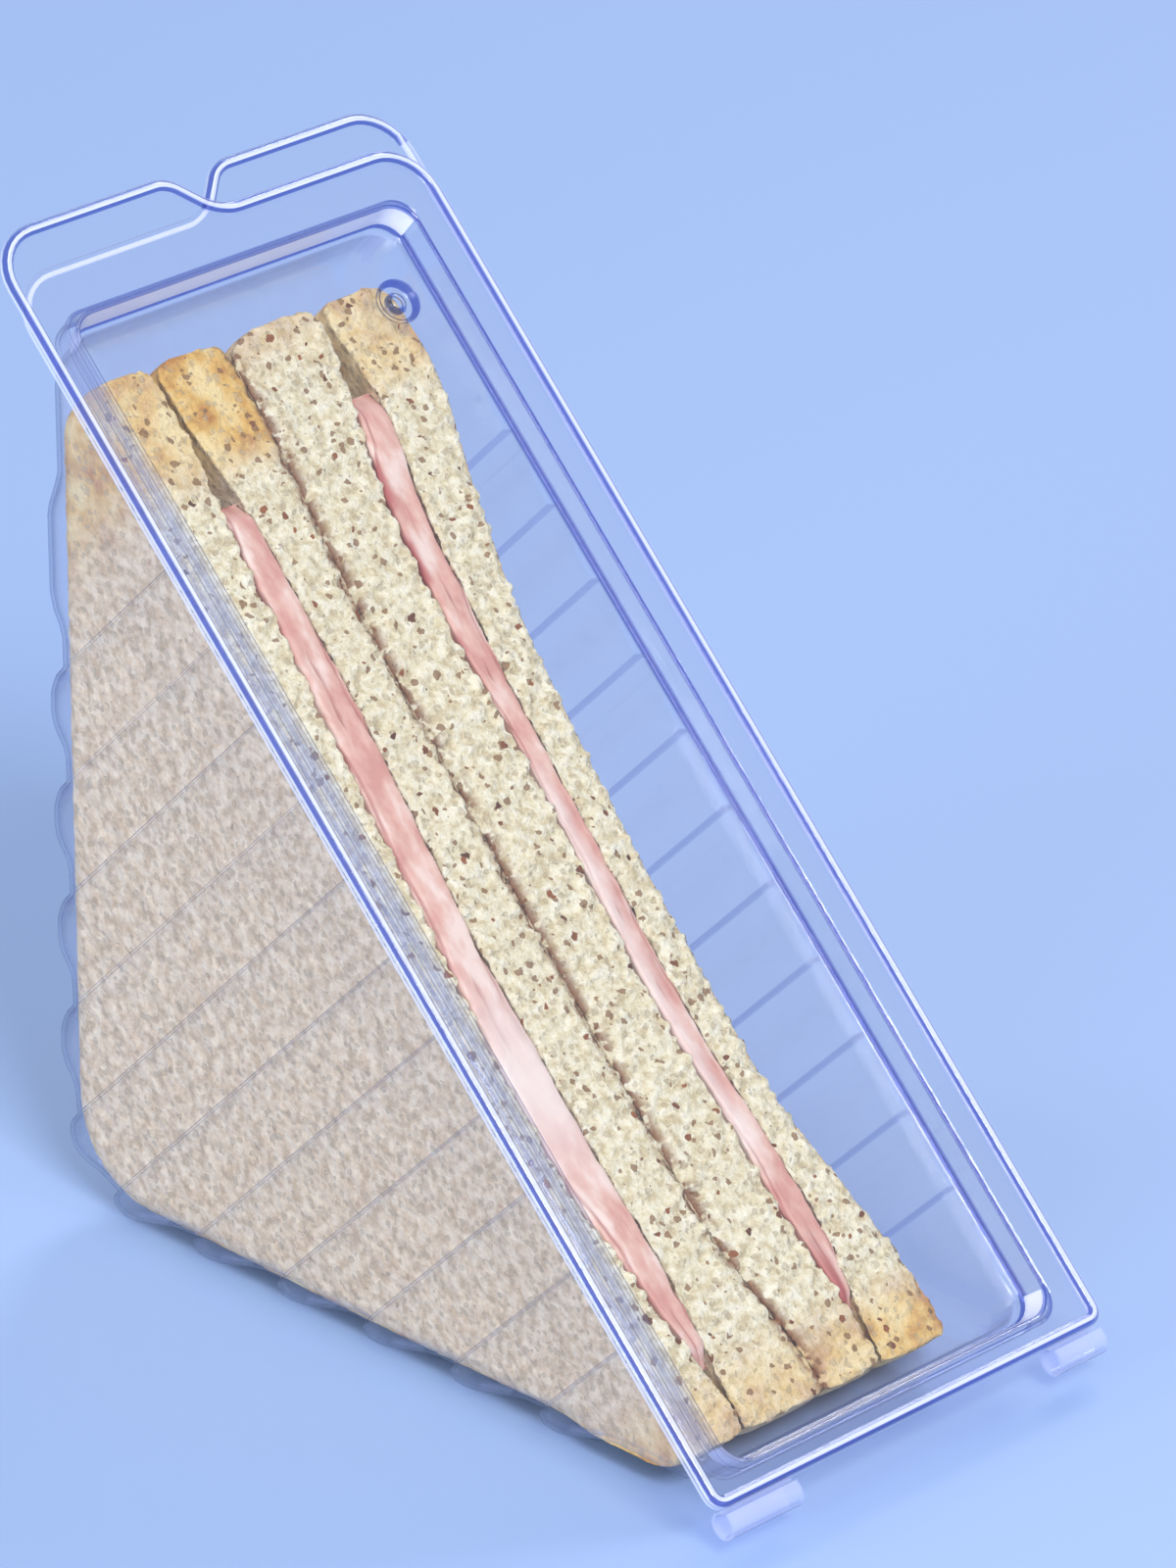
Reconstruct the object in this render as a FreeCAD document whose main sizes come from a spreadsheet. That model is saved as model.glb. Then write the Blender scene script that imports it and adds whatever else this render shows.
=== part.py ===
"""Hinged clear wedge pack with two sandwiches, in millimetres.

The pack is drawn in its window's own frame: X runs across, Y up along the window from the hinge edge, and Z
straight out of the window. The last step turns that frame to the window's slope and stands the pack on its ribs.
"""
import FreeCAD, Part
import math
import os

# Lengths in millimetres under which two places are the same
NEAR = 1e-3

doc = FreeCAD.newDocument("ClamshellPack")
dims = doc.addObject("Spreadsheet::Sheet", "Dims")

# Driving dimensions: alias, value, meaning
SIZES = (
    ("flange_length", 190.0, "rim flange along the window, without the tabs"),
    ("flange_width", 75.0, "rim flange across"),
    ("window_slope", 45.0, "window above the table, degrees"),
    ("gauge", 0.5, "thickness of the plastic"),
    ("side_margin", 5.5, "flange beside the mouth"),
    ("head_margin", 7.0, "flange above the mouth"),
    ("foot_margin", 3.5, "flange below the mouth"),
    ("mouth_depth", 4.6, "mouth of the tray down to its ledge"),
    ("mouth_corner", 4.0, "corner radius of the mouth"),
    ("ledge_width", 2.0, "ledge between the mouth and the wedge"),
    ("foot_drop", 5.1, "wedge floor below the flange's bottom edge"),
    ("back_stand", 1.5, "wedge back beyond the flange's top edge"),
    ("heel_radius", 15.0, "rounding of the wedge's heel"),
    ("side_radius", 4.5, "rounding between the side walls and the floor and back"),
    ("rib_height", 2.4, "ribs on the floor and back"),
    ("rib_side", 1.6, "ribs on the side walls"),
    ("rib_width", 5.5, "width of a rib along the window"),
    ("rib_pitch", 12.15, "distance from rib to rib along the window"),
    ("rib_count", 11, "narrow ribs"),
    ("rib_start", 42.6, "upper edge of the first narrow rib below the flange's top edge"),
    ("shoulder_start", 22.0, "upper edge of the wide shoulder rib below the flange's top edge"),
    ("shoulder_width", 14.0, "width of the shoulder rib along the window"),
    ("head_corner", 8.0, "outer corner radius at the top of the flange"),
    ("foot_corner", 2.5, "outer corner radius at the bottom of the flange"),
    ("tab_reach", 6.5, "thumb tabs beyond the flange"),
    ("tab_width", 37.0, "width of a thumb tab"),
    ("tab_corner", 3.0, "inner corner radius of a thumb tab"),
    ("flange_gap", 0.15, "gap between the two flanges"),
    ("plug_gap", 0.3, "gap between the lid's plug and the mouth"),
    ("button_radius", 3.2, "round press button in the lid"),
    ("button_depth", 1.2, "press button below the lid's panel"),
    ("button_side", 13.0, "press button's centre from the flange's right edge"),
    ("button_head", 20.0, "press button's centre from the flange's top edge"),
    ("bead_radius", 2.1, "rounded hinge bead, outside"),
    ("bead_stand", 1.7, "centre of the bead beyond the flange's bottom edge"),
    ("hinge_gap", 0.7, "gap between the bead's lip and the lid's edge"),
    ("crease_stand", 0.25, "line the lid turns about, beyond the lid's edge"),
    ("land_inset", 1.5, "hinge lands from the flange's long edges"),
    ("land_left", 13.0, "length of the left hinge land"),
    ("land_right", 9.0, "length of the right hinge land"),
    ("bread_thickness", 9.5, "one slice"),
    ("bread_gap", 0.3, "gap between the bread and the walls"),
    ("bread_depth", 9.5, "cut face of the bread below the flange"),
    ("bread_foot", 9.0, "lower tip of the cut face above the flange's bottom edge"),
    ("bread_head", 15.0, "upper tip of the cut face below the flange's top edge"),
    ("loaf_radius", 8.0, "rounding of the slice's tips"),
    ("ham_thickness", 5.5, "folded ham between two slices"),
    ("ham_inset", 4.0, "ham inside the crusts"),
    ("sandwich_gap", 0.6, "gap between the two sandwiches"),
)
for row, (alias, number, meaning) in enumerate(SIZES, 1):
    dims.set("A%d" % row, alias)
    dims.set("B%d" % row, str(number))
    dims.set("C%d" % row, meaning)
    dims.setAlias("B%d" % row, alias)
doc.recompute()


def size(alias):
    """The number in the sheet's cell."""
    return float(dims.get(alias))


def add(kind, name, **expressions):
    """A document object with its properties bound to expressions on the sheet."""
    made = doc.addObject(kind, name)
    for prop, expression in expressions.items():
        made.setExpression(prop, expression)
    return made


def block(name, low, span):
    """A box in the window's frame, from its low corner and its three lengths, all expressions."""
    made = add("Part::Box", name, Length=span[0], Width=span[1], Height=span[2])
    for axis, expression in zip("xyz", low):
        made.setExpression("Placement.Base." + axis, expression)
    return made


def union(name, *pieces):
    made = doc.addObject("Part::MultiFuse", name)
    made.Shapes = list(pieces)
    return made


def overlap(name, first, second):
    made = doc.addObject("Part::MultiCommon", name)
    made.Shapes = [first, second]
    return made


def minus(name, base, tool):
    made = doc.addObject("Part::Cut", name)
    made.Base = base
    made.Tool = tool
    return made


def rounded(name, base, radius, chosen):
    """The base with each edge that chosen accepts rounded to radius."""
    doc.recompute()
    made = doc.addObject("Part::Fillet", name)
    made.Base = base
    made.Edges = [(i, radius, radius) for i, edge in enumerate(base.Shape.Edges, 1) if chosen(edge)]
    return made


def upright(edge):
    """True for an edge that runs straight out of the window."""
    return edge.BoundBox.XLength < NEAR and edge.BoundBox.YLength < NEAR


def upright_at(x, y):
    """A test for the upright edge at a corner."""
    def chosen(edge):
        middle = edge.BoundBox.Center
        return upright(edge) and math.hypot(middle.x - x, middle.y - y) < NEAR
    return chosen


def in_side_plane(edge):
    """True for an edge that lies in a plane square to X."""
    return edge.BoundBox.XLength < NEAR


# Lengths and places that follow from the sheet; REACH is longer than any piece
HALF = "Dims.flange_width / 2"
VALLEY = "(Dims.side_margin + Dims.ledge_width)"
SLOPE_COS = "cos(Dims.window_slope)"
SLOPE_SIN = "sin(Dims.window_slope)"
REACH = "(Dims.flange_length * 1.2)"
BACK = "(Dims.flange_length * %s + Dims.back_stand)" % SLOPE_COS
LID_TOP = "(Dims.flange_gap + Dims.gauge)"
HEEL_EDGE = 11


def legs(name, left, width, grow, heel, side=None):
    """The right-angled space between the wedge's floor and back, grow outside the wedge's own planes.

    It is a box whose lower back edge is the heel. The box stands level, so it lies turned in the window's frame.
    """
    back = "(%s + %s - %s)" % (BACK, grow, REACH)
    floor = "(-Dims.foot_drop - %s)" % grow
    box = add("Part::Box", name + "_box", Length=width, Width=REACH, Height=REACH)
    box.Placement.Rotation = FreeCAD.Rotation(FreeCAD.Vector(1, 0, 0), -size("window_slope"))
    box.setExpression("Placement.Rotation.Angle", "-Dims.window_slope")
    box.setExpression("Placement.Base.x", left)
    box.setExpression("Placement.Base.y", "%s * %s + %s * %s" % (back, SLOPE_COS, floor, SLOPE_SIN))
    box.setExpression("Placement.Base.z", "%s * %s - %s * %s" % (floor, SLOPE_COS, back, SLOPE_SIN))
    doc.recompute()
    heeled = doc.addObject("Part::Fillet", name + "_heel")
    heeled.Base = box
    heeled.Edges = [(HEEL_EDGE, heel, heel)]
    if side is None:
        return heeled
    return rounded(name, heeled, side, in_side_plane)


def comb(name, trim):
    """One upright slab for each rib, each trimmed at both of its edges."""
    slabs = []
    for i in range(int(size("rib_count")) + 1):
        width = "Dims.rib_width"
        top = "Dims.rib_start + %d * Dims.rib_pitch" % (i - 1)
        if i == 0:
            width = "Dims.shoulder_width"
            top = "Dims.shoulder_start"
        low = ("-" + HALF, "Dims.flange_length - (%s) - %s + %s" % (top, width, trim), "-" + REACH)
        span = ("Dims.flange_width", "%s - 2 * %s" % (width, trim), REACH)
        slabs.append(block("%s_%d" % (name, i), low, span))
    return union(name, *slabs)


def wedge(name, trim):
    """The tray's form, solid, trim inside its outer surface: mouth, wedge and ribs."""
    skin = "Dims.gauge" if trim else "0"
    number = size("gauge") if trim else 0.0
    margin = "(Dims.side_margin + %s)" % skin
    mouth = block(
        name + "_mouth_block",
        ("-%s + %s" % (HALF, margin), "Dims.foot_margin + " + skin, "-Dims.mouth_depth - Dims.gauge + " + skin),
        (
            "Dims.flange_width - 2 * " + margin,
            "Dims.flange_length - Dims.foot_margin - Dims.head_margin - 2 * " + skin,
            "Dims.mouth_depth + Dims.gauge",
        ),
    )
    mouth = rounded(name + "_mouth", mouth, size("mouth_corner") - number, upright)
    inset = "(%s + %s)" % (VALLEY, skin)
    core = overlap(
        name + "_core",
        legs(
            name + "_core_legs", "-%s + %s" % (HALF, inset), "Dims.flange_width - 2 * " + inset, "(-%s)" % skin,
            size("heel_radius") - number, size("side_radius") - number,
        ),
        block(
            name + "_core_span",
            ("-" + HALF, "Dims.foot_margin + Dims.ledge_width + " + skin, "-" + REACH),
            (
                "Dims.flange_width",
                "Dims.flange_length - Dims.foot_margin - Dims.head_margin - 2 * (Dims.ledge_width + %s)" % skin,
                REACH,
            ),
        ),
    )
    inset = "(%s - Dims.rib_side + %s)" % (VALLEY, skin)
    ribs = overlap(
        name + "_ribs",
        legs(
            name + "_rib_legs", "-%s + %s" % (HALF, inset), "Dims.flange_width - 2 * " + inset,
            "(Dims.rib_height - %s)" % skin,
            size("heel_radius") + size("rib_height") - number, size("side_radius") + size("rib_side") - number,
        ),
        comb(name + "_comb", skin),
    )
    return union(name, mouth, core, ribs)


def flange(name, base, side):
    """A flange sheet with its thumb tab, whose lower face is at base and whose tab is on the side given."""
    plate = block(name + "_plate", ("-" + HALF, "0", base), ("Dims.flange_width", "Dims.flange_length", "Dims.gauge"))
    half, length = size("flange_width") / 2, size("flange_length")
    for place, x in (("left", -half), ("right", half)):
        plate = rounded(name + "_foot_" + place, plate, size("foot_corner"), upright_at(x, 0))
        plate = rounded(name + "_head_" + place, plate, size("head_corner"), upright_at(x, length))
    root = "2 * Dims.head_corner"
    left = "-" + HALF if side < 0 else HALF + " - Dims.tab_width"
    tab = block(
        name + "_tab_sheet",
        (left, "Dims.flange_length - " + root, base),
        ("Dims.tab_width", "Dims.tab_reach + " + root, "Dims.gauge"),
    )
    tip = length + size("tab_reach")
    tab = rounded(name + "_tab_outer", tab, size("head_corner"), upright_at(side * half, tip))
    tab = rounded(name + "_tab_inner", tab, size("tab_corner"), upright_at(side * (half - size("tab_width")), tip))
    return union(name, plate, tab)


def make_tray():
    """The ribbed wedge with its mouth, flange and tab: one formed sheet."""
    solid = union("tray_solid", wedge("tray_outer", False), flange("tray_flange", "-Dims.gauge", 1))
    return minus("tray", solid, wedge("tray_inner", True))


def make_lid():
    """The flat window, sunk into the mouth as a plug, with its flange, tab and press button."""
    margin = "(Dims.side_margin + Dims.gauge + Dims.plug_gap)"
    ends = "(Dims.foot_margin + Dims.head_margin + 2 * (Dims.gauge + Dims.plug_gap))"
    depth = "(Dims.mouth_depth - Dims.plug_gap)"
    foot = "(Dims.foot_margin + Dims.gauge + Dims.plug_gap)"
    corner = size("mouth_corner") - size("gauge") - size("plug_gap")
    plug = block(
        "lid_plug_block", ("-%s + %s" % (HALF, margin), foot, "-" + depth),
        (
            "Dims.flange_width - 2 * " + margin,
            "Dims.flange_length - " + ends,
            depth + " + Dims.flange_gap",
        ),
    )
    plug = rounded("lid_plug", plug, corner, upright)
    pocket = block(
        "lid_pocket_block",
        ("-%s + %s + Dims.gauge" % (HALF, margin), foot + " + Dims.gauge", "-%s + Dims.gauge" % depth),
        (
            "Dims.flange_width - 2 * (%s + Dims.gauge)" % margin,
            "Dims.flange_length - %s - 2 * Dims.gauge" % ends,
            depth + " + Dims.flange_gap + Dims.gauge",
        ),
    )
    pocket = rounded("lid_pocket", pocket, corner - size("gauge"), upright)
    button = add("Part::Cylinder", "lid_button", Radius="Dims.button_radius", Height="Dims.button_depth + Dims.gauge")
    hollow = add(
        "Part::Cylinder", "lid_button_hollow", Radius="Dims.button_radius - Dims.gauge",
        Height="Dims.button_depth + Dims.gauge",
    )
    for made, rise in ((button, "0"), (hollow, "Dims.gauge")):
        made.setExpression("Placement.Base.x", HALF + " - Dims.button_side")
        made.setExpression("Placement.Base.y", "Dims.flange_length - Dims.button_head")
        made.setExpression("Placement.Base.z", "-%s - Dims.button_depth + %s" % (depth, rise))
    solid = union("lid_solid", flange("lid_flange", "Dims.flange_gap", -1), plug, button)
    return minus("lid", solid, union("lid_hollow", pocket, hollow))


def make_hinge(name, left, length):
    """One rounded land of the hinge bead, from under the tray's flange round to the lid's level."""
    rings = []
    for part, radius in (("outer", "Dims.bead_radius"), ("inner", "Dims.bead_radius - Dims.gauge")):
        made = add("Part::Cylinder", "%s_%s" % (name, part), Radius=radius, Height=length)
        made.Placement.Rotation = FreeCAD.Rotation(FreeCAD.Vector(0, 1, 0), 90)
        made.setExpression("Placement.Base.x", left)
        made.setExpression("Placement.Base.y", "-Dims.bead_stand")
        made.setExpression("Placement.Base.z", LID_TOP + " - Dims.bead_radius")
        rings.append(made)
    slit = block(
        name + "_slit", (left, "-Dims.bead_stand", "-Dims.gauge"), (length, "2 * Dims.bead_radius", "2 * " + LID_TOP)
    )
    lip = block(
        name + "_lip", (left, "-Dims.bead_stand", "Dims.flange_gap"),
        (length, "Dims.bead_stand - Dims.hinge_gap", "Dims.gauge"),
    )
    loop = minus(name + "_loop", minus(name + "_tube", *rings), slit)
    return union(name, loop, lip)


def make_filling(name, left, thickness, inset):
    """A diagonal half slice, inset from the walls of the wedge, with a rounded heel and rounded tips."""
    grow = "(-Dims.gauge - Dims.bread_gap - %s)" % inset
    heel = size("heel_radius") - size("gauge") - size("bread_gap")
    low = "(Dims.bread_foot + %s)" % inset
    cut = overlap(
        name + "_cut",
        legs(name + "_legs", left, thickness, grow, heel),
        block(
            name + "_span", ("-" + HALF, low, "-Dims.bread_depth - %s" % REACH),
            ("Dims.flange_width", "Dims.flange_length - Dims.bread_head - %s - %s" % (inset, low), REACH),
        ),
    )
    doc.recompute()
    box = cut.Shape.BoundBox

    def at_tip(edge):
        """True for the edge across a blunt tip where it meets the crust."""
        spot = edge.BoundBox
        on_end = min(abs(spot.YMin - box.YMin), abs(spot.YMax - box.YMax)) < NEAR
        return on_end and spot.YLength < NEAR and spot.ZLength < NEAR and spot.ZMax < box.ZMax - NEAR

    return rounded(name, cut, size("loaf_radius"), at_tip)


def make_slice(name, left):
    """A half slice whose crust is rounded along both sides, to sit in the wedge's rounded corners."""
    blunt = make_filling(name + "_blunt", left, "Dims.bread_thickness", "0")
    doc.recompute()
    top = blunt.Shape.BoundBox.ZMax

    def on_crust(edge):
        """True for an edge of either flat side, apart from the knife cut's."""
        return in_side_plane(edge) and edge.BoundBox.ZMin < top - NEAR

    return rounded(name, blunt, size("side_radius") - size("gauge") - size("bread_gap"), on_crust)


def make_contents():
    """The two sandwiches, from the left wall: bread, ham and bread, twice."""
    edge = "-%s + %s + Dims.gauge + Dims.bread_gap" % (HALF, VALLEY)
    made = []
    slice_number = 0
    for sandwich, side in enumerate(("left", "right")):
        start = "%s + %d * (2 * Dims.bread_thickness + Dims.ham_thickness + Dims.sandwich_gap)" % (edge, sandwich)
        for k in range(2):
            slice_number += 1
            left = "%s + %d * (Dims.bread_thickness + Dims.ham_thickness)" % (start, k)
            made.append(make_slice("bread_slice_%d" % slice_number, left))
        left = "%s + Dims.bread_thickness" % start
        made.append(make_filling("ham_" + side, left, "Dims.ham_thickness", "Dims.ham_inset"))
    return made


pieces = [make_tray(), make_lid()]
pieces.append(make_hinge("hinge_left", "-%s + Dims.land_inset" % HALF, "Dims.land_left"))
pieces.append(
    make_hinge("hinge_right", "%s - Dims.land_inset - Dims.land_right" % HALF, "Dims.land_right")
)
pieces.extend(make_contents())
doc.recompute()

# Turn the window to its slope, then stand the pack on its ribs over the origin
for piece in pieces:
    piece.Placement.Rotation = FreeCAD.Rotation(FreeCAD.Vector(1, 0, 0), size("window_slope"))
    piece.setExpression("Placement.Rotation.Angle", "Dims.window_slope")
doc.recompute()
box = Part.makeCompound([piece.Shape for piece in pieces]).optimalBoundingBox(True, False)
for row, (alias, number) in enumerate((("frame_y", -box.Center.y), ("frame_z", -box.ZMin)), len(SIZES) + 1):
    dims.set("A%d" % row, alias)
    dims.set("B%d" % row, repr(number))
    dims.setAlias("B%d" % row, alias)
doc.recompute()
for piece in pieces:
    piece.setExpression("Placement.Base.y", "Dims.frame_y")
    piece.setExpression("Placement.Base.z", "Dims.frame_z")
doc.recompute()

for made in doc.Objects:
    if "Invalid" in made.State or "Error" in made.State:
        raise RuntimeError("%s failed: %s" % (made.Name, made.State))
for piece in pieces:
    if piece.Shape.isNull() or not piece.Shape.isValid() or not piece.Shape.Solids:
        raise RuntimeError("%s has no valid solid" % piece.Label)

os.makedirs("parts", exist_ok=True)
for piece in pieces:
    piece.Shape.exportStep("parts/%s.step" % piece.Label)
    spot = piece.Shape.BoundBox
    print(
        "%-14s %d solid, %8.1f mm3, x %.2f %.2f, y %.2f %.2f, z %.2f %.2f"
        % (piece.Label, len(piece.Shape.Solids), piece.Shape.Volume,
           spot.XMin, spot.XMax, spot.YMin, spot.YMax, spot.ZMin, spot.ZMax)
    )

slope = math.radians(size("window_slope"))
crease_out = size("flange_gap") + size("gauge")
crease_up = -size("crease_stand")
print(
    "the lid turns about y %.3f z %.3f"
    % (
        size("frame_y") + crease_up * math.cos(slope) - crease_out * math.sin(slope),
        size("frame_z") + crease_up * math.sin(slope) + crease_out * math.cos(slope),
    )
)
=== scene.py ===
# %% [markdown]
# # A clear wedge pack with two sandwiches
# The pack is one sheet of clear plastic, warmed and drawn into a mould: a ribbed tray, a flat lid with a
# sunken window, and a rounded hinge at the bottom edge. The CAD model gives the sizes and the places, so
# it is loaded first and never moved. Every piece below is built around it in the same frame, in metres.

import math

import bmesh
import bpy
import numpy as np
from mathutils import Matrix, Vector


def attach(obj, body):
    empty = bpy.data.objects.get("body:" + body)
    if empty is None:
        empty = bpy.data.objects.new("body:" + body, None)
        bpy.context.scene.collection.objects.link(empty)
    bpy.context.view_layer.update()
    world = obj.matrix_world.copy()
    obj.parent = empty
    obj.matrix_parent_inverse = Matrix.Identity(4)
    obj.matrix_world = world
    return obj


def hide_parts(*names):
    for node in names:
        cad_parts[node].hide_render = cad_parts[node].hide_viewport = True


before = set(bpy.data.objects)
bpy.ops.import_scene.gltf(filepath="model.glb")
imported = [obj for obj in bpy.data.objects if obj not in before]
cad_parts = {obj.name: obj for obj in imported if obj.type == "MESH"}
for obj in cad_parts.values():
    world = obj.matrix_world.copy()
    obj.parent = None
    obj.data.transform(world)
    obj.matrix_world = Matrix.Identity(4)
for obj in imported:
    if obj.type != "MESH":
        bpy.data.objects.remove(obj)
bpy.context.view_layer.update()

# %% [markdown]
# The tray and the lid are far easier to model lying flat than leaning. So they are drawn with the
# window level, X across, Y up the window from the hinge edge and Z out of the window, and turned
# to the window's slope last. Sizes are easier to read in millimetres, so MM turns them into
# metres where a number meets Blender.

# %% The window's frame
MM = 0.001
SLOPE = math.radians(45)
HINGE_EDGE = Vector((0, -68.512, 7.5)) * MM
FLANGE_WIDTH, FLANGE_LENGTH = 75.0, 190.0
HALF = FLANGE_WIDTH / 2
GAUGE = 0.5

lean = Matrix.Translation(HINGE_EDGE) @ Matrix.Rotation(SLOPE, 4, "X")


def lean_back(piece):
    """Turns a piece that was modelled level to the window's slope, in its mesh."""
    bpy.ops.object.select_all(action="DESELECT")
    piece.select_set(True)
    bpy.context.view_layer.objects.active = piece
    piece.matrix_world = lean
    bpy.ops.object.transform_apply(location=True, rotation=True, scale=True)


# %% [markdown]
# ## The camera
# The photograph's corners of the flange fix where the camera stood: about 45 degrees round to the
# left of the window and 25 degrees above the table, with a long lens. The camera comes first, so
# that each piece can be judged against the photograph as soon as it is there.

# %% Camera
AZIMUTH, ELEVATION, ROLL = (math.radians(a) for a in (-44.526, 25.18, -0.146))
DISTANCE, ASIDE, ABOVE = 1200.0, -43.131, 84.009
FOCAL_PIXELS, PICTURE_HEIGHT = 9211.24, 1600
SENSOR = 36.0

back = Vector((
    math.sin(AZIMUTH) * math.cos(ELEVATION), -math.cos(AZIMUTH) * math.cos(ELEVATION), math.sin(ELEVATION)
))
level_right = Vector((math.cos(AZIMUTH), math.sin(AZIMUTH), 0))
level_up = back.cross(level_right)
right = math.cos(ROLL) * level_right + math.sin(ROLL) * level_up
up = math.cos(ROLL) * level_up - math.sin(ROLL) * level_right
eye = HINGE_EDGE + (right * ASIDE + up * ABOVE + back * DISTANCE) * MM

bpy.ops.object.select_all(action="DESELECT")
bpy.ops.object.camera_add(location=eye)
camera = bpy.context.object
camera.rotation_euler = Matrix((right, up, back)).transposed().to_euler()
camera.data.sensor_fit = "VERTICAL"
camera.data.sensor_height = SENSOR
camera.data.sensor_width = SENSOR
camera.data.lens = FOCAL_PIXELS / PICTURE_HEIGHT * SENSOR
camera.data.clip_start, camera.data.clip_end = 0.05, 50
bpy.context.scene.camera = camera
print("camera at", [round(v, 3) for v in eye], "lens", round(camera.data.lens, 1))

# %% [markdown]
# ## Floor and light
# Clear plastic shows by what it mirrors, so the studio matters more than usual. The floor is pale and
# plain. Large soft lamps stand where the rims of the pack mirror them, and not where the flat window would.

# %% Floor, world and lamps
def paint(name):
    """A new material with its nodes cleared, with its node list and link maker."""
    made = bpy.data.materials.new(name)
    made.use_nodes = True
    made.node_tree.nodes.clear()
    return made, made.node_tree.nodes, made.node_tree.links


bpy.ops.object.select_all(action="DESELECT")
bpy.ops.mesh.primitive_plane_add(size=8)
floor = bpy.context.object
floor.name = floor.data.name = "floor"
floor_paint, nodes, links = paint("floor_paint")
surface = nodes.new("ShaderNodeBsdfPrincipled")
surface.inputs["Base Color"].default_value = (0.30, 0.43, 0.72, 1)
surface.inputs["Roughness"].default_value = 0.6
links.new(surface.outputs[0], nodes.new("ShaderNodeOutputMaterial").inputs["Surface"])
floor.data.materials.append(floor_paint)

world = bpy.data.worlds.new("studio")
bpy.context.scene.world = world
world.use_nodes = True
world.node_tree.nodes["Background"].inputs["Color"].default_value = (0.82, 0.88, 1, 1)
world.node_tree.nodes["Background"].inputs["Strength"].default_value = 0.55


def lamp(name, place, aim, size, power, colour=(1, 1, 1)):
    """A square soft lamp that looks at aim."""
    bpy.ops.object.light_add(type="AREA", location=place)
    made = bpy.context.object
    made.name = made.data.name = name
    made.data.shape = "SQUARE"
    made.data.size = size
    made.data.energy = power
    made.data.color = colour
    made.rotation_euler = (Vector(aim) - Vector(place)).to_track_quat("-Z", "Y").to_euler()


CENTRE = (0, 0.02, 0.06)
lamp("key", (-0.5, -1.15, 1.2), CENTRE, 0.5, 24, (1, 0.98, 0.95))
lamp("fill", (-1.4, -0.1, 0.5), CENTRE, 0.6, 8)
lamp("right", (1.0, 0.55, 1.05), CENTRE, 0.4, 6)
lamp("back_left", (-0.9, 1.1, 0.9), CENTRE, 0.4, 4)

# %% [markdown]
# ## Helpers for shaping by hand
# In Blender a form is shaped by selecting some of its corners or edges and moving, extruding or filling
# them. Here the selecting is done in code, by place, so these helpers pick what lies where a test says.

# %% Selecting and moving in edit mode
def named(name, size=(1, 1, 1)):
    """Names the primitive just added and puts its place and its size, in millimetres, into its mesh."""
    piece = bpy.context.object
    piece.name = piece.data.name = name
    piece.scale = [s * MM for s in size]
    bpy.ops.object.transform_apply(location=True, rotation=True, scale=True)
    return piece


def pick(kind, test, loose_only=False):
    """In edit mode, selects the corners, edges or faces that pass the test at every corner, in mm."""
    piece = bpy.context.object
    bpy.ops.mesh.select_mode(type=kind)
    bpy.ops.mesh.select_all(action="DESELECT")
    mesh = bmesh.from_edit_mesh(piece.data)
    for item in {"VERT": mesh.verts, "EDGE": mesh.edges, "FACE": mesh.faces}[kind]:
        corners = (item,) if kind == "VERT" else item.verts
        if item.hide or (loose_only and len(item.link_faces) > 1):
            continue
        if all(test(corner.co / MM) for corner in corners):
            item.select_set(True)
    mesh.select_flush_mode()
    bmesh.update_edit_mesh(piece.data)


def near(a, b, within=0.02):
    """True where two lengths, in millimetres, are the same."""
    return abs(a - b) < within


def push(x=0.0, y=0.0, z=0.0):
    """Moves what is selected."""
    bpy.ops.transform.translate(value=(x * MM, y * MM, z * MM))


def pull_out(x=0.0, y=0.0, z=0.0):
    """Extrudes what is selected and moves it."""
    bpy.ops.mesh.extrude_region_move(TRANSFORM_OT_translate={"value": (x * MM, y * MM, z * MM)})


def round_corner(x, y, reach, segments):
    """Rounds the outline's corner at a place."""
    pick("VERT", lambda p: near(p.x, x) and near(p.y, y))
    bpy.ops.mesh.bevel(offset=reach * MM, segments=segments, affect="VERTICES")


def trace(half_x, half_y, middle_y, steps):
    """Extrudes the selected rounded rectangle through (outward, upward) steps, to draw a moulded wall."""
    for outward, upward in steps:
        pull_out(z=upward)
        bpy.ops.transform.resize(
            value=((half_x + outward) / half_x, (half_y + outward) / half_y, 1),
            center_override=(0, middle_y * MM, 0),
        )
        half_x += outward
        half_y += outward


def face_up(piece):
    """Makes the faces agree, with the flange facing up, before the wall gets its thickness."""
    bpy.ops.mesh.select_all(action="SELECT")
    bpy.ops.mesh.remove_doubles(threshold=0.01 * MM)
    bpy.ops.mesh.normals_make_consistent(inside=False)
    mesh = bmesh.from_edit_mesh(piece.data)
    top = max(mesh.faces, key=lambda f: (f.calc_center_median().z > -0.5 * MM) * f.calc_area())
    if top.normal.z < 0:
        bpy.ops.mesh.flip_normals()


# The sheet and the cut edge are the plastic's own look. Bend and rib step carry painted shade, crest and
# plug end carry painted highlight, and land carries both.
SHEET, CUT_EDGE, BEND_SHADE, CREST_HIGHLIGHT, RIB_STEP_SHADE, PLUG_END_HIGHLIGHT, LAND_SHADE_HIGHLIGHT = range(7)
CREST_HIGHLIGHT_SHARE = 0.9


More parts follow.
